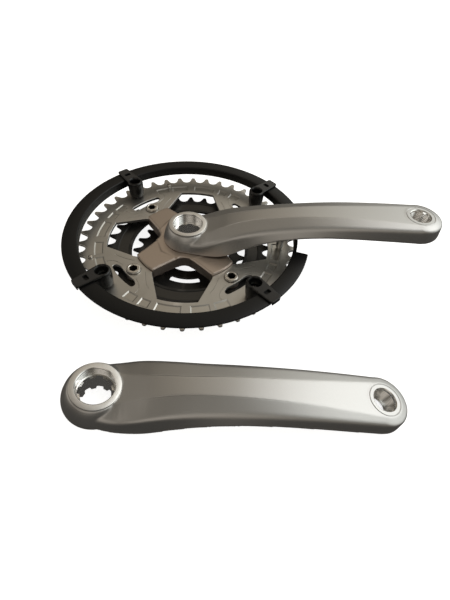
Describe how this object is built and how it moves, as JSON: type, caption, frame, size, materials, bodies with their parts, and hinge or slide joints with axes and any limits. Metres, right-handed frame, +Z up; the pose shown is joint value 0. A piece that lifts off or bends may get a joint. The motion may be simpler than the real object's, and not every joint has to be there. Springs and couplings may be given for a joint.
{
  "type": "bicycle crankset",
  "caption": "Triple bicycle crankset: right crank arm with a four-armed spider, stacked chainrings, chainring bolts and chain guard, plus the separate left crank arm.",
  "frame": {"origin": "on the surface the parts lie on, under the middle of the overall bounding box", "axes": "+X from the right bore towards the right pedal hole, +Y from the loose left arm towards the chainrings, +Z up, away from the bicycle frame on the drive side"},
  "size_m": [0.2822, 0.2496, 0.0601],
  "materials": {
    "arm_silver": "satin silver-grey forged aluminium with a fine even grain",
    "spider_bronze": "satin anodised aluminium, slightly warm, with grey side walls",
    "ring_silver": "satin bead-blasted steel plate",
    "ring_black": "black phosphate-coated steel, dull sheen",
    "guard_black": "black moulded plastic, satin",
    "bolt_bright": "bright plated steel",
    "screw_bright": "zinc-plated steel"
  },
  "bodies": {
    "right_crank": {"right_crank_arm": "arm_silver", "spider": "spider_bronze", "outer_chainring": "ring_silver", "middle_chainring": "ring_black", "inner_chainring": "ring_black", "chain_guard": "guard_black", "guard_bracket_1": "guard_black", "guard_bracket_2": "guard_black", "guard_bracket_3": "guard_black", "guard_bracket_4": "guard_black", "chainring_bolt_1": "bolt_bright", "chainring_bolt_2": "bolt_bright", "chainring_bolt_3": "bolt_bright", "chainring_bolt_4": "bolt_bright", "chainring_nut_1": "bolt_bright", "chainring_nut_2": "bolt_bright", "chainring_nut_3": "bolt_bright", "chainring_nut_4": "bolt_bright", "inner_ring_bolt_1": "bolt_bright", "inner_ring_bolt_2": "bolt_bright", "inner_ring_bolt_3": "bolt_bright", "inner_ring_bolt_4": "bolt_bright", "guard_screw_1": "screw_bright", "guard_screw_2": "screw_bright", "guard_screw_3": "screw_bright", "guard_screw_4": "screw_bright", "shift_pin_1": "screw_bright", "shift_pin_2": "screw_bright", "shift_pin_3": "screw_bright", "shift_pin_4": "screw_bright", "chain_drop_pin": "screw_bright"},
    "left_arm": {"left_crank_arm": "arm_silver"}
  },
  "joints": [
    {"name": "left_arm_lift", "type": "slide", "parent": "right_crank", "child": "left_arm", "axis": [0, 0, 1], "range_m": [0, 0.15]}
  ]
}
